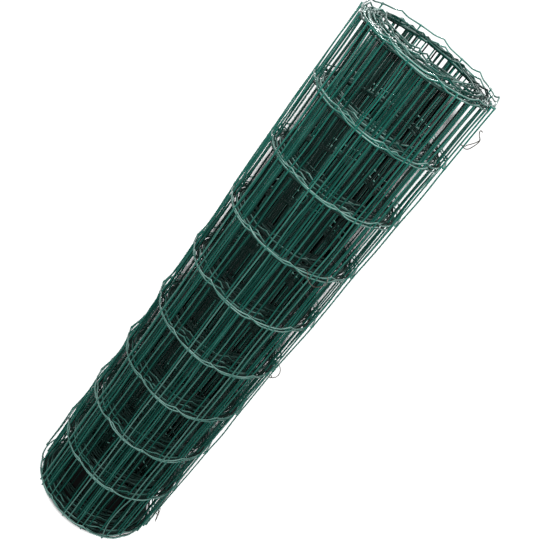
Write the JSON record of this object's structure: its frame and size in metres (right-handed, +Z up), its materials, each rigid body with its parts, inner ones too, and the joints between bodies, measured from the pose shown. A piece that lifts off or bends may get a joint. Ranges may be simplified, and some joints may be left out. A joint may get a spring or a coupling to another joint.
{
  "type": "roll of wire fencing",
  "caption": "Upright roll of green coated welded wire mesh fencing with an open bore, its free edge held by thin tie wires.",
  "frame": {"origin": "on the bore's axis, in the plane that the roll stands on", "axes": "+Z up along the roll's axis; the sheet's free edge and its ties lie at the right, towards +X"},
  "size_m": [0.224, 0.2134, 0.9022],
  "materials": {
    "green_coated_wire": "smooth dark green plastic coat over steel wire, with a soft gloss",
    "tie_wire": "thin dull galvanised binding wire"
  },
  "bodies": {
    "root": {"mesh_roll": "green_coated_wire", "tie_wire_top": "tie_wire", "tie_wire_middle": "tie_wire", "tie_wire_bottom": "tie_wire", "tie_wire_front": "tie_wire"}
  },
  "joints": []
}
